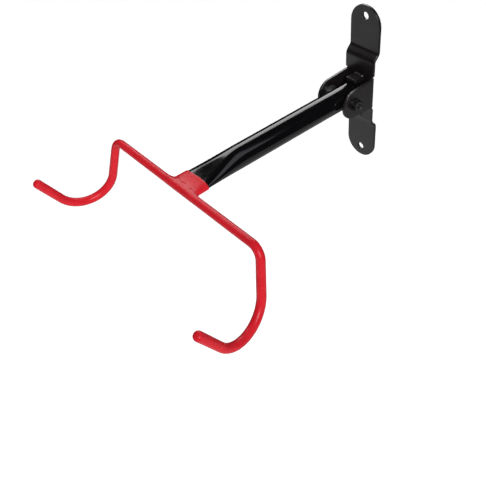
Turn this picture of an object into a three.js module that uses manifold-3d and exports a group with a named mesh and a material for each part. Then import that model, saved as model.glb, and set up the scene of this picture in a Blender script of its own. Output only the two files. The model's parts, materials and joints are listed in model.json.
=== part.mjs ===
// Folding wall rack that holds one bicycle by its top tube.
//
// Millimetres, +Z up. The wall is the plane Y = 0 and the room is on its -Y side. X runs along the hook
// bar. The origin is on the wall, behind the middle of the bracket.
//
// A stamped bracket is screwed to the wall through its two round lobes. Its web stands clear of the wall
// between two bends, and its two ears carry the pivot bolt. The arm tube turns on that bolt: a stop bar over
// its inner end keeps it level under load, and it folds up against the wall. Its outer end is pressed flat
// and welded across a bent steel rod whose two hooks carry the bicycle. The rod and the flat end of the tube
// are dipped in soft vinyl.

import * as THREE from 'three';
import { mergeVertices } from 'three/addons/utils/BufferGeometryUtils.js';
import Module from 'manifold-3d';

// ---- Driving dimensions ----

// Wall bracket
const plateHeight = 213;
const tubeSideGap = 5.2;
const plateThickness = 3.5;
const webStandOff = 7.5;
const jogCentre = 47;
const jogAngle = THREE.MathUtils.degToRad(45);
const jogBendRadius = 6;
const screwHoleFromEnd = 13;
const screwHoleDiameter = 9.5;
const earRadius = 18.7;
const earRootHeight = 41;
const earInnerBend = 0.5;
const earOuterBend = 2.5;
const reliefRadius = 1.3;
const drainHole = { x: 6.5, z: -36.5, diameter: 3 };

// Pivot and its fasteners
const pivotReach = 31;
const boltDiameter = 8;
const boltClearance = 0.4;
const hexPerBoltDiameter = 1.625;
const headHeight = 5.3;
const nutHeight = 6;
const insertHeight = 1.5;
const insertWall = 1.6;
const boltEndRecess = 0.8;
const boltChamfer = 0.9;
const washerDiameter = 16;
const washerThickness = 1.2;
const sleeveDiameter = 14;
const thrustWasherDiameter = 19;
const thrustWasherThickness = 1.2;

// Stop bar
const stopWidth = 16;
const stopThickness = 5;
const stopLength = 15;
const stopCornerRadius = 1.5;
const weldBead = { depth: 3.8, height: 2.4 };

// Arm tube
const tubeDiameter = 28.6;
const tubeWall = 1.8;
const tubeBehindPivot = 24;
const barReach = 250;
const flattenLength = 84;
const flatThickness = 5;
const flatSquareness = 2.8;

// Hook rod
const rodDiameter = 8;
const barHalfLength = 134;
const cornerRadius = 16;
const legSplay = THREE.MathUtils.degToRad(11);
const legTilt = THREE.MathUtils.degToRad(13);
const legLength = 52.5;
const hookRadius = 38.5;
const tipRise = THREE.MathUtils.degToRad(58.5);
const tipLength = 43.5;

// Vinyl coating
const coatThickness = 1.4;
const coatTipThickness = 1.8;
const coatOnTube = 1.1;
const coatTubeCover = 24;
const coatFillet = 10;
const filletBite = 4;
const filletSink = 0.3;
const tipDripLength = 34;

// Clearances
const faceGap = 0.1;
const fitGap = 0.3;
const coatGap = 0.25;
const cutMargin = 1;

// Facets
const roundFacets = 12;
const smallRoundFacets = 6;
const bendSteps = 5;
const tubeFacets = 14;
const tubeSteps = 13;
const coatTubeSteps = 7;
const rodSides = 10;
const coatSides = 12;
const rodSteps = 104;

// ---- Derived places ----

const webBack = -webStandOff;
const webFront = webBack - plateThickness;
const pivotY = webFront - pivotReach;
const plateWidth = tubeDiameter + 2 * (tubeSideGap + plateThickness);
const earOuterX = plateWidth / 2;
const earInnerX = earOuterX - plateThickness;
const earRootHalf = earRootHeight / 2;
const barY = pivotY - barReach;
const tubeRadius = tubeDiameter / 2;
const rodRadius = rodDiameter / 2;
const boreRadius = (boltDiameter + boltClearance) / 2;
const hexAcrossFlats = boltDiameter * hexPerBoltDiameter;
const tubeInnerEnd = pivotY + tubeBehindPivot;
const tubeOuterEnd = barY + rodRadius + fitGap;
const flattenStart = tubeOuterEnd + flattenLength;
const coatEdge = barY + coatTubeCover;
const sleeveHalfLength = earInnerX - thrustWasherThickness - 2 * faceGap;
const stopUnderside = tubeRadius + fitGap;

// ---- Solids ----

const wasm = await Module();
wasm.setup();

// A manifold-3d solid from a closed three.js geometry.
function solid(geometry) {
  const bare = geometry.clone();
  bare.deleteAttribute('normal');
  bare.deleteAttribute('uv');
  const merged = mergeVertices(bare, 1e-4);
  const mesh = new wasm.Mesh({
    numProp: 3,
    vertProperties: new Float32Array(merged.attributes.position.array),
    triVerts: new Uint32Array(merged.index.array),
  });
  return new wasm.Manifold(mesh);
}

// A three.js geometry from a manifold-3d solid.
function geometryOf(body) {
  const mesh = body.getMesh();
  const geometry = new THREE.BufferGeometry();
  geometry.setAttribute('position', new THREE.BufferAttribute(new Float32Array(mesh.vertProperties), 3));
  geometry.setIndex(new THREE.BufferAttribute(new Uint32Array(mesh.triVerts), 1));
  return geometry;
}

// Outlines are drawn in (Y, Z) to extrude along X, in (Z, X) to extrude along Y, and in (X, Y) along Z.
const extrusionFrames = {
  x: new THREE.Matrix4().makeBasis(
    new THREE.Vector3(0, 1, 0), new THREE.Vector3(0, 0, 1), new THREE.Vector3(1, 0, 0)),
  y: new THREE.Matrix4().makeBasis(
    new THREE.Vector3(0, 0, 1), new THREE.Vector3(1, 0, 0), new THREE.Vector3(0, 1, 0)),
  z: new THREE.Matrix4(),
};

function extrude(outline, axis, from, to, curveSegments = roundFacets) {
  const options = { depth: to - from, bevelEnabled: false, curveSegments };
  const geometry = new THREE.ExtrudeGeometry(outline, options);
  geometry.translate(0, 0, from);
  return solid(geometry.applyMatrix4(extrusionFrames[axis]));
}

function circleOutline(radius, u = 0, v = 0) {
  return new THREE.Shape().absarc(u, v, radius, 0, 2 * Math.PI);
}

function box(sizeX, sizeY, sizeZ, x, y, z) {
  const geometry = new THREE.BoxGeometry(sizeX, sizeY, sizeZ);
  return solid(geometry.translate(x, y, z));
}

// A round bar along X through the pivot.
function pivotRound(radius, from, to) {
  return extrude(circleOutline(radius, pivotY, 0), 'x', from, to);
}

function ringOnPivot(outerRadius, innerRadius, from, to) {
  const bore = pivotRound(innerRadius, from - cutMargin, to + cutMargin);
  return pivotRound(outerRadius, from, to).subtract(bore);
}

function hexOnPivot(acrossFlats, from, to) {
  const hexagon = new THREE.Shape();
  const corner = acrossFlats / Math.sqrt(3);
  for (let i = 0; i < 6; i++) {
    const angle = (i * Math.PI) / 3;
    const y = pivotY + corner * Math.cos(angle);
    const z = corner * Math.sin(angle);
    if (i === 0) hexagon.moveTo(y, z);
    else hexagon.lineTo(y, z);
  }
  hexagon.closePath();
  return extrude(hexagon, 'x', from, to);
}

// ---- Wall bracket ----

// The side view of the strip from its lower end to its upper end: points on its middle line with the
// heading there, measured from +Z towards the room.
function stripCentreline() {
  const middleRadius = jogBendRadius + plateThickness / 2;
  const arcShift = 2 * middleRadius * (1 - Math.cos(jogAngle));
  const slopeLength = (webStandOff - arcShift) / Math.sin(jogAngle);
  const run = 2 * middleRadius * Math.sin(jogAngle) + slopeLength * Math.cos(jogAngle);
  const lobeY = -plateThickness / 2;
  const points = [{ y: lobeY, z: -plateHeight / 2, heading: 0 }];
  let place = { y: lobeY, z: -jogCentre - run / 2, heading: 0 };
  points.push(place);

  const bend = (turn) => {
    const start = place;
    const side = Math.sign(turn);
    const centreY = start.y - side * middleRadius * Math.cos(start.heading);
    const centreZ = start.z - side * middleRadius * Math.sin(start.heading);
    for (let i = 1; i <= bendSteps; i++) {
      const heading = start.heading + (turn * i) / bendSteps;
      const y = centreY + side * middleRadius * Math.cos(heading);
      const z = centreZ + side * middleRadius * Math.sin(heading);
      place = { y, z, heading };
      points.push(place);
    }
  };
  const advance = (length) => {
    const y = place.y - length * Math.sin(place.heading);
    const z = place.z + length * Math.cos(place.heading);
    place = { y, z, heading: place.heading };
    points.push(place);
  };

  bend(jogAngle);
  advance(slopeLength);
  bend(-jogAngle);
  advance(2 * jogCentre - run);
  bend(-jogAngle);
  advance(slopeLength);
  bend(jogAngle);
  points.push({ y: lobeY, z: plateHeight / 2, heading: 0 });
  return points;
}

function stripSideOutline() {
  const half = plateThickness / 2;
  const centreline = stripCentreline();
  const front = centreline.map(({ y, z, heading }) =>
    new THREE.Vector2(y - half * Math.cos(heading), z - half * Math.sin(heading)));
  const back = centreline.map(({ y, z, heading }) =>
    new THREE.Vector2(y + half * Math.cos(heading), z + half * Math.sin(heading)));
  return new THREE.Shape([...front, ...back.reverse()]);
}

// The strip seen from the front: straight sides and a full half circle at each end.
function stripFrontOutline() {
  const radius = plateWidth / 2;
  const straight = plateHeight / 2 - radius;
  const outline = new THREE.Shape();
  outline.moveTo(-straight, -radius);
  outline.lineTo(straight, -radius);
  outline.absarc(straight, 0, radius, -Math.PI / 2, Math.PI / 2);
  outline.lineTo(-straight, radius);
  outline.absarc(-straight, 0, radius, Math.PI / 2, (3 * Math.PI) / 2);
  return outline;
}

// The web and the two ears seen from above, as one bent channel open towards the room.
function channelOutline() {
  const front = pivotY - earRadius - cutMargin;
  const outerX = earOuterX - earOuterBend;
  const outerY = webBack - earOuterBend;
  const innerX = earInnerX - earInnerBend;
  const innerY = webFront - earInnerBend;
  const outline = new THREE.Shape();
  outline.moveTo(earOuterX, front);
  outline.absarc(outerX, outerY, earOuterBend, 0, Math.PI / 2);
  outline.absarc(-outerX, outerY, earOuterBend, Math.PI / 2, Math.PI);
  outline.lineTo(-earOuterX, front);
  outline.lineTo(-earInnerX, front);
  outline.absarc(-innerX, innerY, earInnerBend, Math.PI, Math.PI / 2, true);
  outline.absarc(innerX, innerY, earInnerBend, Math.PI / 2, 0, true);
  outline.lineTo(earInnerX, front);
  outline.closePath();
  return outline;
}

// An ear is a little taller at the web, and its edges run from there to touch its round end.
function earSideOutline() {
  const cornerDistance = Math.hypot(pivotReach, earRootHalf);
  const touchAngle = Math.atan2(earRootHalf, pivotReach) + Math.acos(earRadius / cornerDistance);
  const outline = new THREE.Shape();
  outline.moveTo(webFront, -earRootHalf);
  outline.lineTo(webBack + cutMargin, -earRootHalf);
  outline.lineTo(webBack + cutMargin, earRootHalf);
  outline.lineTo(webFront, earRootHalf);
  outline.absarc(pivotY, 0, earRadius, touchAngle, 2 * Math.PI - touchAngle);
  outline.closePath();
  return outline;
}

function wallBracket() {
  const frontOutline = extrude(stripFrontOutline(), 'y', webFront - cutMargin, cutMargin, tubeFacets);
  let strip = extrude(stripSideOutline(), 'x', -earOuterX, earOuterX).intersect(frontOutline);
  const cornerWidth = earOuterBend + cutMargin;
  for (const side of [-1, 1]) {
    const cornerX = side * (earOuterX - earOuterBend + cornerWidth / 2);
    strip = strip.subtract(box(cornerWidth, webStandOff * 3, earRootHeight, cornerX, webFront, 0));
    for (const end of [-1, 1]) {
      const notch = circleOutline(reliefRadius, end * (earRootHalf + reliefRadius), side * earOuterX);
      strip = strip.subtract(extrude(notch, 'y', webFront - cutMargin, 0));
    }
  }
  const channel = extrude(channelOutline(), 'z', -earRootHalf, earRootHalf, bendSteps);
  const ears = channel.intersect(extrude(earSideOutline(), 'x', -plateWidth, plateWidth));
  let bracket = strip.add(ears).subtract(pivotRound(boreRadius, -plateWidth, plateWidth));
  for (const end of [-1, 1]) {
    const screwHole = circleOutline(screwHoleDiameter / 2, end * (plateHeight / 2 - screwHoleFromEnd), 0);
    bracket = bracket.subtract(extrude(screwHole, 'y', webFront, cutMargin));
  }
  const drain = circleOutline(drainHole.diameter / 2, drainHole.z, drainHole.x);
  return bracket.subtract(extrude(drain, 'y', webFront - cutMargin, 0, smallRoundFacets));
}

// ---- Stop bar ----

// A short flat bar welded to the web over the tube's inner end, with its weld bead along the top.
function stopBar() {
  const half = stopWidth / 2;
  const back = webFront - faceGap;
  const front = webFront - stopLength;
  const cornerX = half - stopCornerRadius;
  const cornerY = front + stopCornerRadius;
  const outline = new THREE.Shape();
  outline.moveTo(half, back);
  outline.lineTo(-half, back);
  outline.lineTo(-half, cornerY);
  outline.absarc(-cornerX, cornerY, stopCornerRadius, Math.PI, 1.5 * Math.PI);
  outline.lineTo(cornerX, front);
  outline.absarc(cornerX, cornerY, stopCornerRadius, -Math.PI / 2, 0);
  outline.closePath();
  const top = stopUnderside + stopThickness;
  const bar = extrude(outline, 'z', stopUnderside, top, smallRoundFacets);
  const bead = new THREE.SphereGeometry(1, 16, 12);
  bead.scale(half, weldBead.depth, weldBead.height);
  bead.translate(0, back, top);
  const cutHeight = 2 * stopThickness;
  const inFrontOfWeb = box(
    stopWidth + cutMargin, stopLength, cutHeight, 0, back - stopLength / 2, top + cutHeight / 2 - cutMargin);
  return bar.add(solid(bead).intersect(inFrontOfWeb));
}

// ---- Pivot ----

function pivotBolt() {
  const headFace = -earOuterX - washerThickness - 2 * faceGap;
  const endX = earOuterX + washerThickness + 2 * faceGap + nutHeight - boltEndRecess;
  const length = endX - headFace;
  const radius = boltDiameter / 2;
  const profile = [
    new THREE.Vector2(0, -cutMargin),
    new THREE.Vector2(radius, -cutMargin),
    new THREE.Vector2(radius, length - boltChamfer),
    new THREE.Vector2(radius - boltChamfer, length),
    new THREE.Vector2(0, length),
  ];
  const shank = new THREE.LatheGeometry(profile, 2 * roundFacets);
  shank.rotateZ(-Math.PI / 2);
  shank.translate(headFace, pivotY, 0);
  return hexOnPivot(hexAcrossFlats, headFace - headHeight, headFace).add(solid(shank));
}

function lockNut() {
  const base = earOuterX + washerThickness + 2 * faceGap;
  const face = base + nutHeight;
  const recess = pivotRound(boltDiameter / 2 + insertWall, face - insertHeight, face + cutMargin);
  const nut = hexOnPivot(hexAcrossFlats, base, face);
  return nut.subtract(pivotRound(boreRadius, base - cutMargin, face + cutMargin)).subtract(recess);
}

function nutInsert() {
  const face = earOuterX + washerThickness + 2 * faceGap + nutHeight;
  const outer = boltDiameter / 2 + insertWall - faceGap;
  return ringOnPivot(outer, boltDiameter / 2 + faceGap, face - insertHeight + faceGap, face - faceGap);
}

function boltWasher(side) {
  const inner = side * (earOuterX + faceGap);
  const outer = side * (earOuterX + faceGap + washerThickness);
  return ringOnPivot(washerDiameter / 2, boreRadius, Math.min(inner, outer), Math.max(inner, outer));
}

function thrustWasher(side) {
  const inner = side * (sleeveHalfLength + faceGap);
  const outer = side * (earInnerX - faceGap);
  return ringOnPivot(thrustWasherDiameter / 2, boreRadius, Math.min(inner, outer), Math.max(inner, outer));
}

function pivotSleeve() {
  return ringOnPivot(sleeveDiameter / 2, boreRadius, -sleeveHalfLength, sleeveHalfLength);
}

// ---- Arm tube ----

// How far the tube is pressed flat at a place along Y: 0 where it is round, 1 at its outer end.
function flattening(y) {
  return THREE.MathUtils.smoothstep(flattenStart - y, 0, flattenLength);
}

// Moves a point of a round section, given as an angle and a distance outside the tube's outer radius, to
// its place in the pressed section. The tube's girth is kept: what it loses in height it gains in width.
function pressedPoint(y, angle, outside) {
  const pressed = flattening(y);
  const halfHeight = THREE.MathUtils.lerp(tubeRadius, flatThickness / 2, pressed);
  const halfWidth = tubeRadius + (Math.PI / 2 - 1) * (tubeRadius - halfHeight);
  const power = 2 / THREE.MathUtils.lerp(2, flatSquareness, pressed);
  const across = Math.cos(angle);
  const up = Math.sin(angle);
  const x = (halfWidth + outside) * Math.sign(across) * Math.abs(across) ** power;
  const z = (halfHeight + outside) * Math.sign(up) * Math.abs(up) ** power;
  return { x, z };
}

// A length of pressed tube between two places on Y: the outside surface grown by `outside`, solid or with
// a bore. Only the pressed part is divided into short steps.
function pressedTube(from, to, outside, wall, steps) {
  const section = circleOutline(1);
  const boreMark = 0.5;
  if (wall > 0) section.holes.push(new THREE.Path().absarc(0, 0, boreMark, 0, 2 * Math.PI));
  const options = { depth: steps, steps, bevelEnabled: false, curveSegments: tubeFacets };
  const geometry = new THREE.ExtrudeGeometry(section, options);
  const pressedFrom = Math.min(from, flattenStart);
  const straightEnd = from > flattenStart ? 1 : 0;
  const position = geometry.attributes.position;
  for (let i = 0; i < position.count; i++) {
    const u = position.getX(i);
    const v = position.getY(i);
    const step = position.getZ(i);
    const along = (step - straightEnd) / (steps - straightEnd);
    const y = step < straightEnd
      ? THREE.MathUtils.lerp(from, pressedFrom, step)
      : THREE.MathUtils.lerp(pressedFrom, to, along);
    const inside = Math.hypot(u, v) < (1 + boreMark) / 2;
    const { x, z } = pressedPoint(y, Math.atan2(v, u), inside ? outside - wall : outside);
    position.setXYZ(i, x, y, z);
  }
  return solid(geometry);
}

function armTube() {
  const tube = pressedTube(tubeInnerEnd, tubeOuterEnd, 0, tubeWall, tubeSteps);
  return tube.subtract(pivotRound(sleeveDiameter / 2 + fitGap, -plateWidth, plateWidth));
}

// ---- Hook rod ----

// A rod's middle line, made of straight and circular pieces, with t in proportion to length.
class BentRodCurve extends THREE.Curve {
  constructor(pieces) {
    super();
    this.pieces = pieces;
    this.total = pieces.reduce((sum, piece) => sum + piece.length, 0);
  }

  getPoint(t, target = new THREE.Vector3()) {
    let distance = THREE.MathUtils.clamp(t, 0, 1) * this.total;
    let index = 0;
    while (index < this.pieces.length - 1 && distance > this.pieces[index].length) {
      distance -= this.pieces[index].length;
      index += 1;
    }
    return target.copy(this.pieces[index].at(distance));
  }
}

function straightPiece(start, direction, length) {
  return { length, at: (distance) => start.clone().addScaledVector(direction, distance) };
}

// A circular piece that leaves `start` along `from` and turns until it runs along `towards`.
function arcPiece(start, from, towards, radius) {
  const angle = from.angleTo(towards);
  const inward = towards.clone().addScaledVector(from, -towards.dot(from)).normalize();
  const at = (distance) => {
    const turned = distance / radius;
    return start.clone()
      .addScaledVector(from, radius * Math.sin(turned))
      .addScaledVector(inward, radius * (1 - Math.cos(turned)));
  };
  return { length: angle * radius, at };
}

// The tips can be run on by `extra`, so that the hollow in the coating clears the rod's ends.
function rodCurve(extra = 0) {
  const legDirection = new THREE.Vector3(Math.tan(legSplay), -Math.tan(legTilt), -1).normalize();
  const tipDirection = new THREE.Vector3(0, -Math.cos(tipRise), Math.sin(tipRise));
  const alongBar = new THREE.Vector3(1, 0, 0);
  const setback = cornerRadius * Math.tan(alongBar.angleTo(legDirection) / 2);
  const corner = new THREE.Vector3(barHalfLength, barY, 0);
  const bendStart = corner.clone().addScaledVector(alongBar, -setback);
  const legStart = corner.clone().addScaledVector(legDirection, setback);

  const barHalf = straightPiece(new THREE.Vector3(0, barY, 0), alongBar, barHalfLength - setback);
  const cornerArc = arcPiece(bendStart, alongBar, legDirection, cornerRadius);
  const leg = straightPiece(legStart, legDirection, legLength - setback);
  const hookArc = arcPiece(leg.at(leg.length), legDirection, tipDirection, hookRadius);
  const tip = straightPiece(hookArc.at(hookArc.length), tipDirection, tipLength + extra);
  const rightHalf = [barHalf, cornerArc, leg, hookArc, tip];
  const leftHalf = rightHalf.map((piece) => {
    const at = (distance) => piece.at(piece.length - distance).multiply(new THREE.Vector3(-1, 1, 1));
    return { length: piece.length, at };
  });
  return new BentRodCurve([...leftHalf.reverse(), ...rightHalf]);
}

function sweepRod(radius, sides, extra = 0) {
  const section = [];
  for (let i = 0; i < sides; i++) {
    const angle = (2 * Math.PI * i) / sides;
    section.push(new THREE.Vector2(radius * Math.cos(angle), radius * Math.sin(angle)));
  }
  const options = { steps: rodSteps, bevelEnabled: false, extrudePath: rodCurve(extra) };
  return solid(new THREE.ExtrudeGeometry(new THREE.Shape(section), options));
}

// ---- Vinyl coating ----

// The dip runs down to the tips and leaves them thicker, with round ends that cover the rod's ends.
function tipDrip(side) {
  const curve = rodCurve();
  const end = curve.getPoint(side > 0 ? 1 : 0);
  const direction = new THREE.Vector3(0, -Math.cos(tipRise), Math.sin(tipRise));
  const drip = new THREE.CapsuleGeometry(rodRadius + coatTipThickness, tipDripLength, 4, coatSides);
  drip.applyQuaternion(new THREE.Quaternion().setFromUnitVectors(new THREE.Vector3(0, 1, 0), direction));
  const middle = end.clone().addScaledVector(direction, -tipDripLength / 2 - rodRadius / 2);
  return solid(drip.translate(middle.x, middle.y, middle.z));
}

// The vinyl bridges the inside corner between the flat end of the tube and the rod. The piece bites into the
// tube's coat and lies a little under the surface of both, so that it leaves no step.
function cornerFillet(side) {
  const flatHalfWidth = pressedPoint(tubeOuterEnd, 0, coatOnTube).x;
  const inner = side * (flatHalfWidth - filletBite);
  const edge = side * (flatHalfWidth - filletSink);
  const outer = side * (flatHalfWidth + coatFillet);
  const rodBack = barY + rodRadius + coatThickness - filletSink;
  const outline = new THREE.Shape();
  outline.moveTo(inner, rodBack + coatFillet);
  outline.lineTo(edge, rodBack + coatFillet);
  outline.quadraticCurveTo(edge, rodBack, outer, rodBack);
  outline.lineTo(outer, barY);
  outline.lineTo(inner, barY);
  outline.closePath();
  const halfHeight = flatThickness / 2 + coatOnTube - filletSink;
  return extrude(outline, 'z', -halfHeight, halfHeight, smallRoundFacets);
}

function hookCoating() {
  let coat = sweepRod(rodRadius + coatThickness, coatSides);
  coat = coat.add(pressedTube(coatEdge, barY, coatOnTube, 0, coatTubeSteps));
  for (const side of [-1, 1]) coat = coat.add(tipDrip(side)).add(cornerFillet(side));
  const rodHollow = sweepRod(rodRadius + coatGap, rodSides, coatGap);
  const tubeHollow = pressedTube(coatEdge + cutMargin, tubeOuterEnd - coatGap, coatGap, 0, coatTubeSteps);
  return coat.subtract(rodHollow).subtract(tubeHollow);
}

// ---- Materials ----

const satinBlack = { color: 0x2c2a2c, roughness: 0.42, metalness: 0.1 };
const glossBlack = { color: 0x0d0d0f, roughness: 0.16, metalness: 0.1 };
const zincSteel = { color: 0x8f9296, roughness: 0.35, metalness: 0.9 };
const blackSteel = { color: 0x1b1a1c, roughness: 0.35, metalness: 0.6 };
const nylon = { color: 0x1e1e20, roughness: 0.55, metalness: 0 };
const redVinyl = { color: 0xc8202b, roughness: 0.4, metalness: 0 };
const bareSteel = { color: 0x77797c, roughness: 0.5, metalness: 0.9 };

// ---- Assembly ----

const rack = new THREE.Group();

function addNode(name, body, finish) {
  const mesh = new THREE.Mesh(geometryOf(body), new THREE.MeshStandardMaterial(finish));
  mesh.name = name;
  rack.add(mesh);
}

addNode('wall_bracket', wallBracket(), satinBlack);
addNode('stop_bar', stopBar(), satinBlack);
addNode('pivot_bolt', pivotBolt(), blackSteel);
addNode('head_washer', boltWasher(-1), blackSteel);
addNode('nut_washer', boltWasher(1), blackSteel);
addNode('lock_nut', lockNut(), blackSteel);
addNode('nut_insert', nutInsert(), nylon);
addNode('thrust_washer_left', thrustWasher(-1), nylon);
addNode('thrust_washer_right', thrustWasher(1), nylon);
addNode('pivot_sleeve', pivotSleeve(), zincSteel);
addNode('arm_tube', armTube(), glossBlack);
addNode('hook_rod', sweepRod(rodRadius, rodSides), bareSteel);
addNode('hook_coating', hookCoating(), redVinyl);

export default rack;
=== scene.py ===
"""Looks of a folding wall rack that holds one bicycle by its top tube.

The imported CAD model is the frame. Every piece that shows is a finer mesh that stands for one CAD node: the
stamped wall bracket, the stop bar and its weld, the bolted pivot, the arm tube pressed flat at its end, and
the vinyl that was dipped over the bent hook rod. Shapes are worked out in millimetres and made in metres.
"""
import json
import math

import bmesh
import bpy
import numpy as np
from mathutils import Matrix, Vector
from mathutils.kdtree import KDTree


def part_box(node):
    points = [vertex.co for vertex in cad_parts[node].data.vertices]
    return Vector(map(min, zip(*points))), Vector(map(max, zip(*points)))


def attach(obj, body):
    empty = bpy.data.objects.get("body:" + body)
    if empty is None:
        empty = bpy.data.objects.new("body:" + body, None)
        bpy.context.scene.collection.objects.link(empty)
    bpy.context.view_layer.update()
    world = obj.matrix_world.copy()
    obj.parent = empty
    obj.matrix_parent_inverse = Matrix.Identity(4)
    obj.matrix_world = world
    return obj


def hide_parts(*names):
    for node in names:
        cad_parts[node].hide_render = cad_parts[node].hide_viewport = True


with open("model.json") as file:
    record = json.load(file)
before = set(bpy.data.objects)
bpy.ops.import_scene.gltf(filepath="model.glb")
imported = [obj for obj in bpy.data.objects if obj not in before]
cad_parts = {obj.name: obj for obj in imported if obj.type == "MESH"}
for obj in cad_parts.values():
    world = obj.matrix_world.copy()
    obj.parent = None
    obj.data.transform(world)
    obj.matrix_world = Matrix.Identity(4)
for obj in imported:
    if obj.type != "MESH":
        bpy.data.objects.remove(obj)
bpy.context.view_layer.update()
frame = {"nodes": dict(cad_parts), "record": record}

MM = 0.001


def cad_corners(node):
    """The lowest and highest corner of a CAD node, in millimetres."""
    low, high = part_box(node)
    return Vector(low) / MM, Vector(high) / MM


# ---- Sizes in millimetres: what the frame gives, then what it doesn't ----

bracket_low, bracket_high = cad_corners("wall_bracket")
stop_low, stop_high = cad_corners("stop_bar")
tube_low, tube_high = cad_corners("arm_tube")
nut_low, nut_high = cad_corners("lock_nut")
washer_low, washer_high = cad_corners("nut_washer")
sleeve_low, sleeve_high = cad_corners("pivot_sleeve")
thrust_low, thrust_high = cad_corners("thrust_washer_right")
pivot_y = frame["record"]["behaviour"]["joints"][0]["pos_m"][1] / MM

half_width = bracket_high.x
half_height = bracket_high.z
ear_radius = pivot_y - bracket_low.y
tube_radius = tube_high.z
tube_inner_end = tube_high.y
tube_outer_end = tube_low.y
stop_underside = stop_low.z
stop_front = stop_low.y

plate_thickness = 3.5
web_stand_off = 7.5
jog_centre = 47
jog_angle = math.radians(45)
jog_bend_radius = 6
plate_edge_round = 0.55
blank_corner_cut = 0.6
ear_root_half = 20.5
ear_outer_bend = 2.5
ear_inner_bend = 0.5
ear_bend_start = 18.5
ear_bend_run = 4.9
relief_radius = 1.3
relief_depth = 2.3
tear_width = 0.02
screw_hole_radius = 4.75
screw_hole_height = 93.5
bore_radius = 4.2
drain_hole = (6.5, -36.5, 1.5)

bolt_radius = 4
bolt_end_recess = 0.8
bolt_chamfer = 0.9
thread_run_in = 3
thread_pitch = 1.25
thread_depth = 0.45
hex_across_flats = 13
head_height = 5.3
hex_base_chamfer = 0.35
insert_wall = 1.6
insert_height = 1.5
insert_gap = 0.1
washer_edge_round = 0.3
sleeve_edge_round = 0.5

stop_thickness = 5
stop_corner_radius = 1.5
stop_edge_round = 0.5
bead_depth = 3.7
bead_height = 2.3
bead_pool_length = 1.9

tube_wall = 1.8
tube_rim_round = 0.45
flatten_length = 84
flat_thickness = 5
flat_squareness = 2.8
flatten_start = tube_outer_end + flatten_length

bar_y = pivot_y - 250
bar_half_length = 134
corner_radius = 16
leg_splay = math.radians(11)
leg_tilt = math.radians(13)
leg_length = 52.5
hook_radius = 38.5
tip_rise = math.radians(58.5)
tip_length = 43.5

coat_edge = bar_y + 24
coat_on_flat = 1.15
coat_past_tip = 2.85
coat_tip_round = 5.0
coat_blend = 4.5
coat_voxel = 0.75
rod_weld = {"behind_bar": 5.2, "height": 3.2, "reach": 2.6, "swell": 0.85, "half_length": 18.5, "pool": 5.2}


# ---- Mesh helpers ----

def add_object(name, data):
    made = bpy.data.objects.new(name, data)
    bpy.context.scene.collection.objects.link(made)
    return made


def make_object(name, points, faces):
    mesh = bpy.data.meshes.new(name)
    mesh.from_pydata([tuple(point) for point in np.asarray(points) * MM], [], faces)
    mesh.validate()
    return add_object(name, mesh)


def outward(made):
    """Turns every face of a closed mesh outwards."""
    work = bmesh.new()
    work.from_mesh(made.data)
    bmesh.ops.recalc_face_normals(work, faces=work.faces)
    work.to_mesh(made.data)
    work.free()


def smooth(made, degrees=40):
    made.data.polygons.foreach_set("use_smooth", [True] * len(made.data.polygons))
    made.data.set_sharp_from_angle(angle=math.radians(degrees))


def weighted_normals(made):
    """Keeps the flat faces flat where they meet rounded edges."""
    made.data.polygons.foreach_set("use_smooth", [True] * len(made.data.polygons))
    modifier = made.modifiers.new("flat faces", "WEIGHTED_NORMAL")
    modifier.mode = "FACE_AREA"
    modifier.weight = 90


def finish_piece(made, body, material, slot, *nodes):
    made.data.materials.clear()
    made.data.materials.append(material)
    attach(made, body)
    if nodes:
        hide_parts(*nodes)


def fillet(corners, radius, steps):
    """A polygon with each corner rounded by a curve of that radius, or less where its sides are short."""
    corners = [Vector(corner) for corner in corners]
    path = []
    for i, corner in enumerate(corners):
        before = corners[i - 1] - corner
        after = corners[(i + 1) % len(corners)] - corner
        half_angle = before.angle(after) / 2
        reach = min(radius / math.tan(half_angle), before.length * 0.48, after.length * 0.48)
        start = corner + before.normalized() * reach
        end = corner + after.normalized() * reach
        for step in range(steps + 1):
            t = step / steps
            path.append(start * (1 - t) ** 2 + corner * 2 * t * (1 - t) + end * t ** 2)
    return path


def arc(centre_u, centre_v, radius, start, end, steps):
    angles = np.radians(np.linspace(start, end, steps + 1))
    return [(centre_u + radius * math.cos(a), centre_v + radius * math.sin(a)) for a in angles]


def ring_faces(rows, columns, close_rows=False):
    """Quads over rings of points, one ring per row. With close_rows the last ring joins the first."""
    faces = []
    for row in range(rows if close_rows else rows - 1):
        for column in range(columns):
            a = row * columns + column
            b = row * columns + (column + 1) % columns
            c = ((row + 1) % rows) * columns + (column + 1) % columns
            d = ((row + 1) % rows) * columns + column
            faces.append((a, b, c, d))
    return faces


def capped_faces(rows, columns):
    """Rings of points as in ring_faces, with a face over each end."""
    caps = [tuple(range(columns)), tuple(range((rows - 1) * columns, rows * columns))]
    return ring_faces(rows, columns) + caps


def turned(name, profile, segments=96, closed=False, reach=None):
    """A piece turned about the pivot's axis, no wider at any angle than reach(angle).

    The profile is a list of (x, radius). A closed one makes a ring, and an open one is capped at both ends.
    """
    points = []
    for x, radius in profile:
        for i in range(segments):
            angle = 2 * math.pi * i / segments
            r = radius if reach is None else min(radius, reach(angle))
            points.append((x, pivot_y + r * math.cos(angle), r * math.sin(angle)))
    rows = len(profile)
    faces = ring_faces(rows, segments, True) if closed else capped_faces(rows, segments)
    made = make_object(name, points, faces)
    outward(made)
    return made


def hexagon(angle):
    """The distance from the axis to the side of the nut and the bolt's head, at an angle round them."""
    sector = math.pi / 3
    return hex_across_flats / 2 / math.cos((angle + sector / 2) % sector - sector / 2)


# ---- Materials ----

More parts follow.
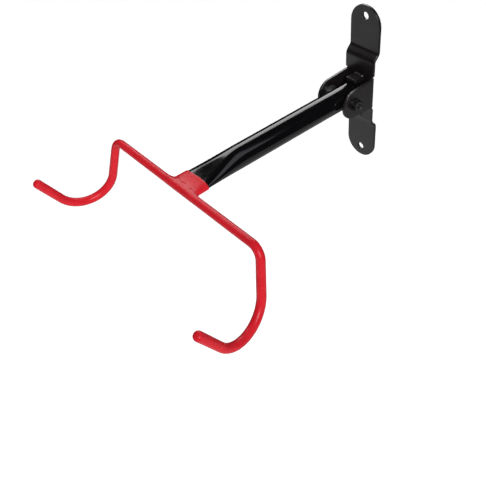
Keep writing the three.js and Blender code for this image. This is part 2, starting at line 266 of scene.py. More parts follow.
class Nodes:
    """A short way to write a procedural material round one Principled shader. Scales are per metre."""

    def __init__(self, name):
        self.material = bpy.data.materials.new(name)
        self.material.use_nodes = True
        self.tree = self.material.node_tree
        self.shader = self.tree.nodes["Principled BSDF"]
        self.place = self.add("ShaderNodeTexCoord").outputs["Object"]

    def add(self, kind, **settings):
        node = self.tree.nodes.new(kind)
        for key, value in settings.items():
            setattr(node, key, value)
        return node

    def link(self, source, target):
        self.tree.links.new(source, target)

    def noise(self, scale, detail=3.0, roughness=0.55, stretch=None):
        node = self.add("ShaderNodeTexNoise")
        node.inputs["Scale"].default_value = scale
        node.inputs["Detail"].default_value = detail
        node.inputs["Roughness"].default_value = roughness
        place = self.place
        if stretch:
            mapping = self.add("ShaderNodeMapping")
            mapping.inputs["Scale"].default_value = stretch
            self.link(self.place, mapping.inputs["Vector"])
            place = mapping.outputs["Vector"]
        self.link(place, node.inputs["Vector"])
        return node.outputs["Fac"]

    def ramp(self, source, low, high, start=0.0, end=1.0):
        """source, from `start` to `end`, spread over `low` to `high`."""
        node = self.add("ShaderNodeMapRange")
        for name, value in (("From Min", start), ("From Max", end), ("To Min", low), ("To Max", high)):
            node.inputs[name].default_value = value
        self.link(source, node.inputs["Value"])
        return node.outputs["Result"]

    def mix(self, factor, first, second):
        node = self.add("ShaderNodeMix", data_type="RGBA")
        colours = [socket for socket in node.inputs if socket.type == "RGBA"]
        for socket, colour in zip(colours, (first, second)):
            if isinstance(colour, tuple):
                socket.default_value = (*colour, 1)
            else:
                self.link(colour, socket)
        self.link(factor, node.inputs["Factor"])
        return [socket for socket in node.outputs if socket.type == "RGBA"][0]

    def edges(self, start, end):
        """1 on worn outer edges, 0 elsewhere, broken up by noise."""
        pointed = self.ramp(self.add("ShaderNodeNewGeometry").outputs["Pointiness"], 0, 1, start, end)
        patchy = self.ramp(self.noise(420, 4, 0.7), 0, 1, 0.42, 0.68)
        node = self.add("ShaderNodeMath", operation="MULTIPLY")
        self.link(pointed, node.inputs[0])
        self.link(patchy, node.inputs[1])
        return node.outputs["Value"]

    def bump(self, source, distance, strength=1.0, under=None):
        node = self.add("ShaderNodeBump")
        node.inputs["Distance"].default_value = distance
        node.inputs["Strength"].default_value = strength
        self.link(source, node.inputs["Height"])
        if under is not None:
            self.link(under, node.inputs["Normal"])
        return node.outputs["Normal"]

    def finish(self, colour, roughness, normal=None, **constants):
        self.link(colour, self.shader.inputs["Base Color"])
        self.link(roughness, self.shader.inputs["Roughness"])
        if normal is not None:
            self.link(normal, self.shader.inputs["Normal"])
        for name, value in constants.items():
            self.shader.inputs[name.replace("_", " ")].default_value = value
        return self.material


def satin_powder_coat():
    """Satin black powder coat: a fine orange peel, faint smudges and paler rubbed edges."""
    n = Nodes("satin black powder coat")
    blotches = n.noise(38, 4)
    colour = n.mix(n.ramp(blotches, 0, 1, 0.35, 0.7), (0.0055, 0.0042, 0.0047), (0.0085, 0.0068, 0.0074))
    colour = n.mix(n.edges(0.53, 0.62), colour, (0.035, 0.032, 0.034))
    roughness = n.ramp(n.noise(90, 5, 0.6), 0.27, 0.36, 0.3, 0.7)
    peel = n.bump(n.noise(1500, 2, 0.5), 0.00003, 0.35)
    normal = n.bump(n.noise(160, 2, 0.4), 0.00012, 0.25, peel)
    return n.finish(colour, roughness, normal, Specular_IOR_Level=0.5)


def gloss_enamel():
    """Gloss black enamel on the arm, with a long faint waviness and fine handling marks."""
    n = Nodes("gloss black enamel")
    colour = n.mix(n.noise(60, 3), (0.0014, 0.0014, 0.0017), (0.0028, 0.0028, 0.0032))
    smudges = n.noise(70, 5, 0.65, (1.0, 0.35, 1.0))
    roughness = n.ramp(smudges, 0.085, 0.15, 0.35, 0.75)
    peel = n.bump(n.noise(900, 2, 0.5), 0.00002, 0.2)
    normal = n.bump(n.noise(75, 1, 0.3, (1.0, 0.3, 1.0)), 0.0002, 0.18, peel)
    return n.finish(colour, roughness, normal, Specular_IOR_Level=0.45)


def black_zinc():
    """Black zinc plate on the bolt, nut and washers, rubbed to steel on its sharp edges."""
    n = Nodes("black zinc plate")
    colour = n.mix(n.noise(300, 4, 0.6), (0.012, 0.011, 0.012), (0.032, 0.029, 0.031))
    colour = n.mix(n.edges(0.53, 0.60), colour, (0.20, 0.195, 0.19))
    roughness = n.ramp(n.noise(500, 4, 0.6), 0.22, 0.42, 0.3, 0.7)
    normal = n.bump(n.noise(1300, 3, 0.6), 0.00003, 0.4)
    return n.finish(colour, roughness, normal, Metallic=0.75)


def zinc_plate():
    """Bright zinc on the turned sleeve, with the lathe's rings along it."""
    n = Nodes("bright zinc plate")
    colour = n.mix(n.noise(140, 4), (0.40, 0.41, 0.43), (0.55, 0.55, 0.56))
    roughness = n.ramp(n.noise(260, 4), 0.24, 0.42, 0.3, 0.7)
    normal = n.bump(n.noise(60, 3, 0.6, (40.0, 1.0, 1.0)), 0.00004, 0.5)
    return n.finish(colour, roughness, normal, Metallic=1.0)


def drawn_steel():
    """Bare drawn rod, with drawing lines."""
    n = Nodes("bare drawn steel")
    colour = n.mix(n.noise(90, 4), (0.26, 0.26, 0.27), (0.40, 0.39, 0.38))
    roughness = n.ramp(n.noise(300, 4), 0.35, 0.55, 0.3, 0.7)
    normal = n.bump(n.noise(500, 3), 0.00004, 0.5)
    return n.finish(colour, roughness, normal, Metallic=1.0)


def black_nylon():
    n = Nodes("black nylon")
    colour = n.mix(n.noise(400, 3), (0.016, 0.016, 0.017), (0.030, 0.030, 0.031))
    roughness = n.ramp(n.noise(700, 3), 0.42, 0.60, 0.3, 0.7)
    normal = n.bump(n.noise(1600, 2), 0.00003, 0.4)
    return n.finish(colour, roughness, normal)


def red_vinyl():
    """Dipped vinyl: rich red, deeper in patches and fine specks, its soft gloss waved where the dip ran."""
    n = Nodes("dipped red vinyl")
    patches = n.ramp(n.noise(55, 4, 0.6), 0, 1, 0.3, 0.7)
    colour = n.mix(patches, (0.475, 0.0110, 0.0185), (0.540, 0.0150, 0.0245))
    specks = n.ramp(n.noise(1900, 2, 0.5), 0, 1, 0.66, 0.76)
    colour = n.mix(specks, colour, (0.38, 0.009, 0.014))
    roughness = n.ramp(n.noise(130, 5, 0.65), 0.20, 0.32, 0.3, 0.7)
    runs = n.bump(n.noise(85, 2, 0.45), 0.00035, 0.35)
    normal = n.bump(n.noise(1100, 3, 0.6), 0.00004, 0.35, runs)
    return n.finish(
        colour, roughness, normal, Specular_IOR_Level=0.12, Subsurface_Weight=0.06, Subsurface_Scale=0.002)


# ---- Wall bracket ----

class StripBend:
    """The strip's side view: how far along it runs, and where a point on its middle line then lies."""

    def __init__(self):
        self.radius = jog_bend_radius + plate_thickness / 2
        shift = 2 * self.radius * (1 - math.cos(jog_angle))
        self.slope = (web_stand_off - shift) / math.sin(jog_angle)
        run = 2 * self.radius * math.sin(jog_angle) + self.slope * math.cos(jog_angle)
        self.first = jog_centre - run / 2
        self.arc = self.radius * jog_angle
        self.second = self.first + self.arc + self.slope
        self.end = self.second + self.arc
        self.extra = self.end - (jog_centre + run / 2)

    def at(self, along):
        """(y, z, heading) on the middle line, `along` the strip from its middle.

        The heading is the angle that the strip leans to the wall there.
        """
        web = -web_stand_off - plate_thickness / 2
        s = abs(along)
        if s <= self.first:
            y, z, heading = web, s, 0.0
        elif s <= self.first + self.arc:
            heading = (s - self.first) / self.radius
            y = web + self.radius * (1 - math.cos(heading))
            z = self.first + self.radius * math.sin(heading)
        elif s <= self.second:
            heading = jog_angle
            past = s - self.first - self.arc
            y = web + self.radius * (1 - math.cos(jog_angle)) + past * math.sin(jog_angle)
            z = self.first + self.radius * math.sin(jog_angle) + past * math.cos(jog_angle)
        elif s <= self.end:
            heading = (self.end - s) / self.radius
            y = -plate_thickness / 2 - self.radius * (1 - math.cos(heading))
            z = self.end - self.extra - self.radius * math.sin(heading)
        else:
            y, z, heading = -plate_thickness / 2, s - self.extra, 0.0
        side = 1 if along >= 0 else -1
        return y, z * side, heading * side

    def bend_lines(self, steps=8):
        lines = []
        for start in (self.first, self.second):
            lines += [start + self.arc * i / steps for i in range(steps + 1)]
        return lines


strip = StripBend()
web_back = -web_stand_off
web_front = web_back - plate_thickness
ear_straight_y = web_front - 1
stop_top = stop_underside + stop_thickness
pivot_along_ear = ear_bend_start + ear_bend_run + ear_straight_y - pivot_y


def blank_outline():
    """The outline of the flat blank, across (u) and along (v) the strip, before anything is bent."""
    lobe_centre = half_height + strip.extra - half_width
    root_reach = ear_straight_y - pivot_y
    root_distance = math.hypot(ear_root_half, root_reach)
    touch = math.atan2(ear_root_half, root_reach) + math.acos(ear_radius / root_distance)
    notch_top = ear_root_half + 2 * relief_radius
    notch_centre = half_width - relief_depth + relief_radius
    notch_middle = ear_root_half + relief_radius
    right_top = arc(pivot_along_ear, 0, ear_radius, 0, 180 - math.degrees(touch), 40)
    right_top += [(ear_bend_start + ear_bend_run, ear_root_half)]
    right_top += arc(notch_centre, notch_middle, relief_radius, 270, 90, 16)
    right_top += [(half_width - blank_corner_cut, notch_top), (half_width, notch_top + blank_corner_cut)]
    right_top += [(half_width, lobe_centre)] + arc(0, lobe_centre, half_width, 0, 90, 48)[1:]
    left_top = [(-u, v) for u, v in reversed(right_top[:-1])]
    left_bottom = [(-u, -v) for u, v in right_top[1:]]
    right_bottom = [(u, -v) for u, v in reversed(right_top[1:-1])]
    return right_top + left_top + left_bottom + right_bottom


def blank_curve():
    """The blank as a filled curve: its bevel rounds every edge, round the holes as well."""
    curve = bpy.data.curves.new("blank", "CURVE")
    curve.dimensions = "2D"
    curve.fill_mode = "BOTH"
    curve.bevel_depth = plate_edge_round
    curve.bevel_resolution = 3
    curve.offset = -plate_edge_round
    curve.extrude = plate_thickness / 2 - plate_edge_round
    outlines = [blank_outline()]
    for side in (-1, 1):
        screw_along = side * (screw_hole_height + strip.extra)
        outlines.append(arc(0, screw_along, screw_hole_radius, 0, 360, 64)[:-1])
        outlines.append(arc(side * pivot_along_ear, 0, bore_radius, 0, 360, 48)[:-1])
    outlines.append(arc(*drain_hole, 0, 360, 24)[:-1])
    for outline in outlines:
        spline = curve.splines.new("POLY")
        spline.points.add(len(outline) - 1)
        spline.points.foreach_set("co", [c for u, v in outline for c in (u, v, 0, 1)])
        spline.use_cyclic_u = True
    return curve


def round_corner(share, face_y, side_x, radius):
    """(x, y) on one face of an ear's bend, that share of the way from the web to the straight ear."""
    along_web = side_x - radius - ear_bend_start
    along_bend = radius * math.pi / 2
    along_ear = face_y - radius - ear_straight_y
    distance = share * (along_web + along_bend + along_ear)
    if distance < along_web:
        return ear_bend_start + distance, face_y
    if distance < along_web + along_bend:
        angle = (distance - along_web) / radius
        return side_x - radius + radius * math.sin(angle), face_y - radius + radius * math.cos(angle)
    return side_x, face_y - radius - (distance - along_web - along_bend)


def bent(point):
    """Where a point of the flat blank lies once the ears and the strip are bent."""
    u, v, w = point
    if abs(v) <= ear_root_half + tear_width / 2 and abs(u) > ear_bend_start:
        past = abs(u) - ear_bend_start
        share = min(past / ear_bend_run, 1)
        back_x, back_y = round_corner(share, web_back, half_width, ear_outer_bend)
        front_x, front_y = round_corner(share, web_front, half_width - plate_thickness, ear_inner_bend)
        depth = w / plate_thickness + 0.5
        x = back_x + (front_x - back_x) * depth
        y = back_y + (front_y - back_y) * depth - max(past - ear_bend_run, 0)
        return math.copysign(x, u), y, v
    y, z, heading = strip.at(v)
    return u, y - w * math.cos(heading), z + w * math.sin(heading)


def wall_bracket():
    """The blank, cut across at every bend so that it can follow them, and torn beside the ears' roots."""
    curve_object = add_object("blank", blank_curve())
    evaluated = curve_object.evaluated_get(bpy.context.evaluated_depsgraph_get())
    mesh = bpy.data.meshes.new_from_object(evaluated)
    bpy.data.objects.remove(curve_object)
    work = bmesh.new()
    work.from_mesh(mesh)
    bmesh.ops.remove_doubles(work, verts=work.verts, dist=0.002)
    lines_across = [*strip.bend_lines(), ear_root_half, ear_root_half + tear_width]
    lines_along = [ear_bend_start + ear_bend_run * i / 20 for i in range(21)]
    cuts = [((0, side * line, 0), (0, 1, 0)) for line in lines_across for side in (-1, 1)]
    cuts += [((side * line, 0, 0), (1, 0, 0)) for line in lines_along for side in (-1, 1)]
    for place, normal in cuts:
        geometry = [*work.verts, *work.edges, *work.faces]
        bmesh.ops.bisect_plane(work, geom=geometry, dist=0.0005, plane_co=place, plane_no=normal)
    for vertex in work.verts:
        vertex.co = Vector(bent(vertex.co)) * MM
    bmesh.ops.recalc_face_normals(work, faces=work.faces)
    work.to_mesh(mesh)
    work.free()
    made = add_object("bracket_shell", mesh)
    weighted_normals(made)
    return made


# ---- Stop bar and its weld ----

def stop_bar():
    half = stop_high.x
    corners = [(-half, web_front), (-half, stop_front), (half, stop_front), (half, web_front)]
    outline = fillet(corners, stop_corner_radius, 8)
    points = [(x, y, z) for z in (stop_underside, stop_top) for x, y in outline]
    made = make_object("stop_bar_body", points, capped_faces(2, len(outline)))
    outward(made)
    bevel = made.modifiers.new("rounded edges", "BEVEL")
    bevel.width = stop_edge_round * MM
    bevel.segments = 4
    bevel.limit_method = "ANGLE"
    weighted_normals(made)
    return made


def weld_bead():
    """A fillet weld in the corner over the stop bar, laid from side to side in small overlapping pools."""
    half = stop_high.x - 0.2
    sunk = 0.4
    columns, rows = 72, 18
    points = []
    for i in range(columns + 1):
        along = -1 + 2 * i / columns
        swell = max(1 - abs(along) ** 2.4, 0.0) ** 0.5
        for j in range(rows + 1):
            angle = math.pi / 2 * j / rows
            bow = 0.35 * math.sin(2 * angle)
            pool = abs(math.sin(math.pi * (along * half / bead_pool_length + bow)))
            lift = swell * (1 + 0.07 * pool)
            y = web_front - bead_depth * lift * math.cos(angle)
            z = stop_top + bead_height * lift * math.sin(angle)
            points.append((along * half, y, z))
        points.append((along * half, web_front + sunk, stop_top - sunk))
    made = make_object("stop_bar_weld", points, ring_faces(columns + 1, rows + 2))
    outward(made)
    smooth(made, 60)
    return made


# ---- Bolted pivot ----

def washer(name, low_x, high_x, outer, inner):
    corners = [(low_x, inner), (high_x, inner), (high_x, outer), (low_x, outer)]
    made = turned(name, fillet(corners, washer_edge_round, 4), closed=True)
    smooth(made, 50)
    return made


def chamfered_hex_profile(base, face, inner=0.0):
    """A hexagon's corners are cut back by a cone at its face, and at its base by a smaller one."""
    out = 1 if face > base else -1
    corner = hex_across_flats / math.sqrt(3)
    past_corner = corner + 0.01
    flat = hex_across_flats / 2
    cone = (corner - flat) * math.tan(math.radians(30))
    rim = flat - 0.35
    profile = [(base, inner), (base, flat), (base + out * hex_base_chamfer, past_corner)]
    profile += [(face - out * (cone + hex_base_chamfer), past_corner)]
    steps = 6
    for i in range(steps + 1):
        t = i / steps
        profile.append((face - out * (cone + 0.2) * (1 - t), corner + (rim - corner) * t))
    profile.append((face, rim - 0.25))
    return profile


def lock_nut():
    base = nut_low.x
    face = nut_high.x
    collar = bolt_radius + insert_wall
    profile = chamfered_hex_profile(base, face, bore_radius)
    profile += [(face - 0.1, collar + 0.25), (face - 0.45, collar)]
    profile += [(face - insert_height, collar), (face - insert_height, bore_radius)]
    made = turned("lock_nut_body", profile, 144, True, hexagon)
    smooth(made, 32)
    return made


def nut_insert():
    low, high = nut_high.x - insert_height + insert_gap, nut_high.x - 0.35
    inner, outer = bolt_radius + insert_gap, bolt_radius + insert_wall - insert_gap
    return washer("nut_nylon_ring", low, high, outer, inner)


def pivot_bolt():
    seat = -washer_high.x - 0.1
    base = seat - 0.3
    face = seat - head_height
    end = nut_high.x - bolt_end_recess
    dished_face = [(face + 0.3, 0.05), (face + 0.25, 4.0), (face, 4.4)]
    head = chamfered_hex_profile(base, face)[1:]
    shank = [(base, 6.1), (seat, 6.0), (seat, bolt_radius + 0.3), (seat + 0.3, bolt_radius)]
    thread_start = washer_high.x - thread_run_in
    half_pitch = thread_pitch / 2
    for i in range(int((end - bolt_chamfer - thread_start) / half_pitch)):
        shank.append((thread_start + i * half_pitch, bolt_radius - (thread_depth if i % 2 else 0.0)))
    shank += [(end - 0.8, bolt_radius - 0.1), (end - 0.12, bolt_radius - 0.85), (end, bolt_radius - 1.05)]
    centre_mark = [(end - 0.02, 1.4), (end - 0.25, 0.9), (end - 0.45, 0.05)]
    profile = [*dished_face, *reversed(head), *shank, *centre_mark]
    made = turned("pivot_bolt_body", profile, 144, False, hexagon)
    smooth(made, 32)
    return made


def pivot_sleeve():
    low, high = sleeve_low.x, sleeve_high.x
    corners = [(low, bore_radius), (high, bore_radius), (high, sleeve_high.z), (low, sleeve_high.z)]
    made = turned("sleeve_body", fillet(corners, sleeve_edge_round, 4), closed=True)
    smooth(made, 50)
    return made


# ---- Arm tube ----

def flattening(y):
    """How far the tube is pressed at a place along it: 0 where it is round, 1 where it is flat."""
    t = np.clip((flatten_start - y) / flatten_length, 0, 1)
    return t * t * (3 - 2 * t)


def section_size(y):
    """Half width, half height and squareness of the tube's outside at a place along it."""
    pressed = flattening(y)
    half_height_here = tube_radius + (flat_thickness / 2 - tube_radius) * pressed
    half_width_here = tube_radius + (math.pi / 2 - 1) * (tube_radius - half_height_here)
    return half_width_here, half_height_here, 2 + (flat_squareness - 2) * pressed


def tube_ring(y, inset, segments):
    wide, high, power = section_size(y)
    angles = np.linspace(0, 2 * np.pi, segments, endpoint=False)
    across, up = np.cos(angles), np.sin(angles)
    x = (wide - inset) * np.sign(across) * np.abs(across) ** (2 / power)
    z = (high - inset) * np.sign(up) * np.abs(up) ** (2 / power)
    return np.column_stack([x, np.full(segments, y), z])


def arm_tube():
    segments = 160
    straight = np.linspace(tube_inner_end, flatten_start, 14)
    pressed = np.linspace(flatten_start, tube_outer_end, 60)[1:]
    rim = tube_rim_round
    stations = [(tube_inner_end, tube_wall - rim), (tube_inner_end, rim)]
    for angle in np.radians((30, 60)):
        stations.append((tube_inner_end - rim * (1 - math.cos(angle)), rim * (1 - math.sin(angle))))
    stations += [(y, 0) for y in (tube_inner_end - rim, *straight[1:], *pressed)]
    stations += [(y, tube_wall) for y in (*pressed[::-1], *straight[:0:-1], tube_inner_end - rim)]
    rings = [tube_ring(y, inset, segments) for y, inset in stations]
    made = make_object("arm_tube_shell", np.vstack(rings), ring_faces(len(rings), segments, True))
    outward(made)
    smooth(made, 50)
    return made


# ---- Vinyl-dipped hook rod ----

def hook_centreline(run_on):
    """The right half of the rod's middle line, in steps of about a millimetre from the bar's middle.

    Also where its tip ends and which way it points there. The points run on past the tip.
    """
    leg = Vector((math.tan(leg_splay), -math.tan(leg_tilt), -1)).normalized()
    tip = Vector((0, -math.cos(tip_rise), math.sin(tip_rise)))
    along_bar = Vector((1, 0, 0))
    setback = corner_radius * math.tan(along_bar.angle(leg) / 2)
    corner = Vector((bar_half_length, bar_y, 0))
    points = []

    def straight(start, direction, length):
        count = max(int(length), 1)
        points.extend(start + direction * (length * i / count) for i in range(count))
        return start + direction * length

    def turn(start, old, new, radius):
        angle = old.angle(new)
        inward = (new - old * new.dot(old)).normalized()
        count = max(int(angle * radius), 1)
        for i in range(count):
            a = angle * i / count
            points.append(start + old * (radius * math.sin(a)) + inward * (radius * (1 - math.cos(a))))
        return start + old * (radius * math.sin(angle)) + inward * (radius * (1 - math.cos(angle)))

    straight(Vector((0, bar_y, 0)), along_bar, bar_half_length - setback)
    turn(corner - along_bar * setback, along_bar, leg, corner_radius)
    hook_start = straight(corner + leg * setback, leg, leg_length - setback)
    tip_start = turn(hook_start, leg, tip, hook_radius)
    end = straight(tip_start, tip, tip_length)
    straight(end, tip, run_on)
    return points, end, tip


def coat_radius(distance):
    """The dip leaves more vinyl the further down the rod it ran."""
    stations = (0, 120, 160, 205, 290, 330)
    radii = (5.0, 5.0, 5.3, 5.45, 5.6, 5.78)
    return np.interp(distance, stations, radii)


def smooth_max(a, b, blend):
    h = np.clip(0.5 + 0.5 * (a - b) / blend, 0, 1)
    return b + (a - b) * h + blend * h * (1 - h)


def smooth_min(a, b, blend):
    return -smooth_max(-a, -b, blend)


class CoatField:
    """Signed distance to the vinyl's surface: the coated rod, blended into the coated end of the tube."""

    def __init__(self):
        right, self.tip_end, self.tip_direction = hook_centreline(14)
        self.points = np.array(right)
        steps = np.linalg.norm(np.diff(self.points, axis=0), axis=1)
        self.distance = np.concatenate([[0], np.cumsum(steps)])
        self.tree = KDTree(len(right))
        for i, point in enumerate(right):
            self.tree.insert(point, i)
        self.tree.balance()

    def rod(self, p):
        """Distance to the rod's coat. Both halves are alike, so p is folded onto the right one."""
        q = p.copy()
        q[:, 0] = np.abs(q[:, 0])
        nearest = np.array([self.tree.find(point)[1] for point in q])
        best = np.full(len(q), 1e9)
        along = np.zeros(len(q))
        for shift in (-1, 0):
            start = np.clip(nearest + shift, 0, len(self.points) - 2)
            a, b = self.points[start], self.points[start + 1]
            ab = b - a
            t = np.clip(np.einsum("ij,ij->i", q - a, ab) / np.einsum("ij,ij->i", ab, ab), 0, 1)
            gap = np.linalg.norm(q - a - ab * t[:, None], axis=1)
            closer = gap < best
            best = np.where(closer, gap, best)
            along = np.where(closer, self.distance[start] + t * np.linalg.norm(ab, axis=1), along)
        surface = best - coat_radius(along)
        beyond = (q - np.array(self.tip_end)) @ np.array(self.tip_direction) - coat_past_tip
        return smooth_max(surface, beyond, coat_tip_round)

    def flat(self, p):
        """Distance to the coat on the tube's pressed end."""
        wide, high, power = section_size(np.clip(p[:, 1], bar_y, coat_edge + 4))

        def level(x, z):
            u = np.abs(x) / (wide + coat_on_flat)
            v = np.abs(z) / (high + coat_on_flat)
            return (u ** power + v ** power) ** (1 / power)

        x, z = p[:, 0], p[:, 2]
        step = 0.05
        slope = np.hypot(level(x + step, z) - level(x - step, z), level(x, z + step) - level(x, z - step))
        section = (level(x, z) - 1) / np.maximum(slope / (2 * step), 0.01)
        sag = 0.35 * np.sin(x * 0.21 + 0.6) + 0.2 * np.sin(x * 0.57)
        edge = p[:, 1] - coat_edge - sag
        return smooth_max(smooth_max(section, edge, 1.6), bar_y - 1 - p[:, 1], 2.0)

    def weld(self, p):
        """How far the weld that joins the rod to the tube swells the vinyl over it."""
        x = p[:, 0]
        behind_line = p[:, 1] - (bar_y + rod_weld["behind_bar"])
        from_line = np.hypot(behind_line, np.abs(p[:, 2]) - rod_weld["height"])
        ends = 1 / (1 + np.exp((np.abs(x) - rod_weld["half_length"]) / 0.9))
        pools = 0.5 + 0.5 * np.abs(np.sin(np.pi * x / rod_weld["pool"] + 0.5 * np.sin(x * 0.9)))
        uneven = 1 + 0.35 * np.sin(x * 0.47 + 1.0)
        return rod_weld["swell"] * pools * uneven * ends * np.exp(-((from_line / rod_weld["reach"]) ** 2))

    def __call__(self, p):
        field = self.rod(p)
        near_flat = (np.abs(p[:, 0]) < 44) & (p[:, 1] > bar_y - 12)
        if near_flat.any():
            q = p[near_flat]
            field[near_flat] = smooth_min(field[near_flat], self.flat(q), coat_blend) - self.weld(q)
        return field


def rough_coat():
    """A closed mesh near the vinyl's surface, made of even quads by a voxel remesh."""
    rod_radius, flat_outset = 5.4, 1.1
    around_rod, around_flat, stations = 16, 64, 16
    right = hook_centreline(5)[0]
    left = [Vector((-p.x, p.y, p.z)) for p in reversed(right[1:])]
    path = [*left, *right][::2]
    rod_points = []
    for i, p in enumerate(path):
        heading = (path[min(i + 1, len(path) - 1)] - path[max(i - 1, 0)]).normalized()
        side = heading.cross(Vector((0, 1, 0.35))).normalized()
        other = heading.cross(side)
        for j in range(around_rod):
            a = 2 * math.pi * j / around_rod
            rod_points.append(p + side * (rod_radius * math.cos(a)) + other * (rod_radius * math.sin(a)))
    rings = [tube_ring(y, -flat_outset, around_flat) for y in np.linspace(coat_edge, bar_y, stations)]
    flat_faces = capped_faces(stations, around_flat)
    faces = capped_faces(len(path), around_rod)
    faces += [tuple(index + len(rod_points) for index in face) for face in flat_faces]
    made = make_object("hook_vinyl", [tuple(p) for p in (*rod_points, *np.vstack(rings))], faces)
    outward(made)
    remesh = made.modifiers.new("even quads", "REMESH")
    remesh.mode = "VOXEL"
    remesh.voxel_size = coat_voxel * MM
    evaluated = made.evaluated_get(bpy.context.evaluated_depsgraph_get())
    mesh = bpy.data.meshes.new_from_object(evaluated)
    made.modifiers.clear()
    made.data = mesh
    return made


def settle_on(field, points, rounds):
    """Moves points onto the field's surface along its slope."""
    step = 0.02
    for _ in range(rounds):
        value = field(points)
        slope = np.empty_like(points)
        for axis in range(3):
            shifted = points.copy()
            shifted[:, axis] += step
            slope[:, axis] = (field(shifted) - value) / step
        length = np.maximum(np.einsum("ij,ij->i", slope, slope), 0.2)
        points = points - slope * (value / length)[:, None]
    return points


def even_out(points, edges):
    """Each point moves halfway to the middle of its neighbours."""
    total = np.zeros_like(points)
    count = np.zeros(len(points))
    for a, b in ((edges[:, 0], edges[:, 1]), (edges[:, 1], edges[:, 0])):
        np.add.at(total, a, points[b])
        np.add.at(count, a, 1)
    return 0.5 * points + 0.5 * total / count[:, None]


def hook_vinyl():
    made = rough_coat()
    mesh = made.data
    points = np.empty(len(mesh.vertices) * 3)
    mesh.vertices.foreach_get("co", points)
    points = points.reshape(-1, 3) / MM
    edges = np.empty(len(mesh.edges) * 2, dtype=int)
    mesh.edges.foreach_get("vertices", edges)
    edges = edges.reshape(-1, 2)
    field = CoatField()
    points = settle_on(field, points, 1)
    for _ in range(2):
        points = settle_on(field, even_out(points, edges), 1)
    mesh.vertices.foreach_set("co", (points * MM).ravel())
    mesh.update()
    smooth(made, 180)
    return made


# ---- Put the pieces together ----

powder_coat = satin_powder_coat()
enamel = gloss_enamel()
dark_zinc = black_zinc()
bright_zinc = zinc_plate()
nylon = black_nylon()
vinyl = red_vinyl()

finish_piece(wall_bracket(), "bracket", powder_coat, "bracket_black", "wall_bracket")
finish_piece(stop_bar(), "bracket", powder_coat, "bracket_black", "stop_bar")
finish_piece(weld_bead(), "bracket", powder_coat, "bracket_black")
finish_piece(pivot_bolt(), "bracket", dark_zinc, "fastener_black", "pivot_bolt")
finish_piece(
    washer("nut_washer_ring", washer_low.x, washer_high.x, washer_high.z, bore_radius),
    "bracket", dark_zinc, "fastener_black", "nut_washer")
finish_piece(
    washer("head_washer_ring", -washer_high.x, -washer_low.x, washer_high.z, bore_radius),
    "bracket", dark_zinc, "fastener_black", "head_washer")
finish_piece(lock_nut(), "bracket", dark_zinc, "fastener_black", "lock_nut")
finish_piece(nut_insert(), "bracket", nylon, "nylon", "nut_insert")
for side, node in ((-1, "thrust_washer_left"), (1, "thrust_washer_right")):
    low_x, high_x = sorted((side * thrust_low.x, side * thrust_high.x))
    ring = washer(node + "_ring", low_x, high_x, thrust_high.z, bore_radius)
    finish_piece(ring, "arm", nylon, "nylon", node)
finish_piece(pivot_sleeve(), "arm", bright_zinc, "zinc_steel", "pivot_sleeve")
finish_piece(arm_tube(), "arm", enamel, "arm_black", "arm_tube")
finish_piece(hook_vinyl(), "arm", vinyl, "red_vinyl", "hook_coating")
frame["nodes"]["hook_rod"].data.materials.clear()
frame["nodes"]["hook_rod"].data.materials.append(drawn_steel())


# ---- Stage, light and camera ----

def stage_plane(name, low, high, height, colour, glow):
    mesh = bpy.data.meshes.new(name)
    corners = [(low[0], low[1]), (high[0], low[1]), (high[0], high[1]), (low[0], high[1])]
    mesh.from_pydata([(x, y, height) for x, y in corners], [], [(0, 1, 2, 3)])
    plane = add_object(name, mesh)
    material = bpy.data.materials.new(name)
    material.use_nodes = True
    shader = material.node_tree.nodes["Principled BSDF"]
    shader.inputs["Base Color"].default_value = (*colour, 1)
    shader.inputs["Roughness"].default_value = 0.95
    shader.inputs["Specular IOR Level"].default_value = 0.1
    shader.inputs["Emission Color"].default_value = (1, 1, 1, 1)
    shader.inputs["Emission Strength"].default_value = glow
    mesh.materials.append(material)
    return plane


def backdrop(radius):
    """A pale dome round everything. Only the camera sees it, so that it lights and reflects nothing."""
    mesh = bpy.data.meshes.new("backdrop")
    work = bmesh.new()
    bmesh.ops.create_uvsphere(work, u_segments=48, v_segments=24, radius=radius)
    work.to_mesh(mesh)
    work.free()
    dome = add_object("backdrop", mesh)
    material = bpy.data.materials.new("backdrop")
    material.use_nodes = True
    nodes = material.node_tree.nodes
    glow = nodes.new("ShaderNodeEmission")
    glow.inputs["Color"].default_value = (1.0, 1.0, 1.0, 1)
    material.node_tree.links.new(glow.outputs[0], nodes["Material Output"].inputs["Surface"])
    mesh.materials.append(material)
    dome.visible_diffuse = False
    dome.visible_glossy = False
    dome.visible_transmission = False
    dome.visible_shadow = False


def soft_box(name, place, across, along, width, height, radiance, colour=(1, 1, 1)):
    """A lit rectangle, its width along `across` and its height near `along`. Its back is across x along."""
    light = bpy.data.lights.new(name, "AREA")
    light.shape = "RECTANGLE"
    light.size = width
    light.size_y = height
    light.energy = radiance * math.pi * width * height
    light.color = colour
    side = Vector(across).normalized()
    back = side.cross(Vector(along)).normalized()
    turn = Matrix((side, back.cross(side), back)).transposed().to_4x4()
    add_object(name, light).matrix_world = Matrix.Translation(place) @ turn


def sun(name, direction, strength, spread):
    light = bpy.data.lights.new(name, "SUN")
    light.energy = strength
    light.angle = math.radians(spread)
    lamp = add_object(name, light)
    lamp.rotation_euler = (-Vector(direction)).to_track_quat("-Z", "Y").to_euler()


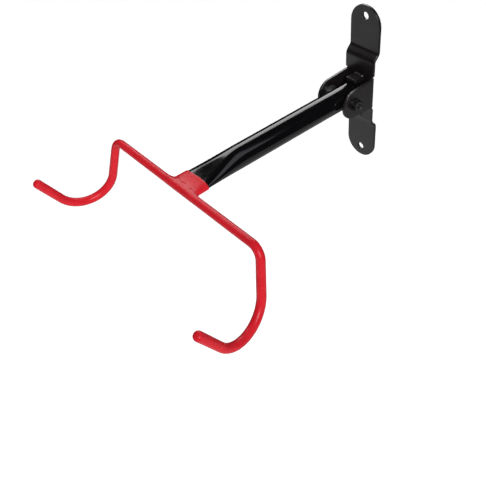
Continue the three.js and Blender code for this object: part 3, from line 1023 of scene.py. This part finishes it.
def camera(place, azimuth, elevation, roll, lens):
    a, e, r = math.radians(azimuth), math.radians(elevation), math.radians(roll)
    back = Vector((math.sin(a) * math.cos(e), -math.cos(a) * math.cos(e), math.sin(e)))
    level_right = Vector((math.cos(a), math.sin(a), 0))
    level_up = back.cross(level_right)
    right = level_right * math.cos(r) + level_up * math.sin(r)
    up = level_up * math.cos(r) - level_right * math.sin(r)
    data = bpy.data.cameras.new("camera")
    data.lens = lens
    data.sensor_width = 36
    made = add_object("camera", data)
    turn = Matrix((right, up, back)).transposed().to_4x4()
    made.matrix_world = Matrix.Translation(place) @ turn
    bpy.context.scene.camera = made


floor_height = -1.4
floor_reach = 20
floor = stage_plane(
    "floor", (-floor_reach, -floor_reach), (floor_reach, floor_reach), floor_height, (0.9, 0.9, 0.9), 0.4)
floor.visible_glossy = False

# Reflector cards just over the floor: only gloss sees them, as the pale lower part of its reflections.
cards = (
    ("wall side card", (-2.3, -0.4), (3.4, 1.7), 0.42),
    ("room side card", (-3, -4), (1, -0.4), 0.68))
for name, low, high, glow in cards:
    card = stage_plane(name, low, high, floor_height + 0.02, (0.02, 0.02, 0.02), glow)
    card.visible_camera = False
    card.visible_diffuse = False
    card.visible_shadow = False

backdrop(18)
world = bpy.data.worlds.new("studio")
world.use_nodes = True
world.node_tree.nodes["Background"].inputs["Color"].default_value = (0.014, 0.014, 0.015, 1)
bpy.context.scene.world = world
bpy.context.scene.view_settings.view_transform = "Standard"

sun("key", (0.72, -0.38, 0.58), strength=3.6, spread=30)

# The long pale streak on the arm.
arm_middle = Vector((0, pivot_y * MM / 2 + bar_y * MM / 2, 0))
box_along = Vector((-0.42, -0.83, 0.37))
box_middle = arm_middle + Vector((-0.60, 0.56, 0.57)) * 1.3 + box_along * 0.043
soft_box(
    "back left soft box", box_middle, (-0.66, 0, -0.75), box_along, width=0.72, height=1.085, radiance=4.6)

# The bright edge and weld of the stop bar.
stop_place = Vector((0, web_front, stop_top)) * MM
top_middle = stop_place + Vector((-0.585, -0.2, 0.786)) * 1.3
soft_box("top soft box", top_middle, (-0.81, 0, -0.59), (0, -1, 0), width=0.4, height=0.16, radiance=11)

# The bluish band where the arm is pressed flat.
arm_end = Vector((0, flatten_start - flatten_length / 2, 0)) * MM
strip_middle = arm_end + Vector((0.53, 0.40, 0.74)) * 1.5
soft_box(
    "right strip", strip_middle, (-0.71, -0.21, 0.67), (0.42, -0.88, 0.17),
    width=1.1, height=0.36, radiance=1.2, colour=(0.88, 0.9, 1))

camera(Vector((0.52763, -0.58904, 0.47729)), azimuth=54.95, elevation=43.96, roll=-6.88, lens=50)
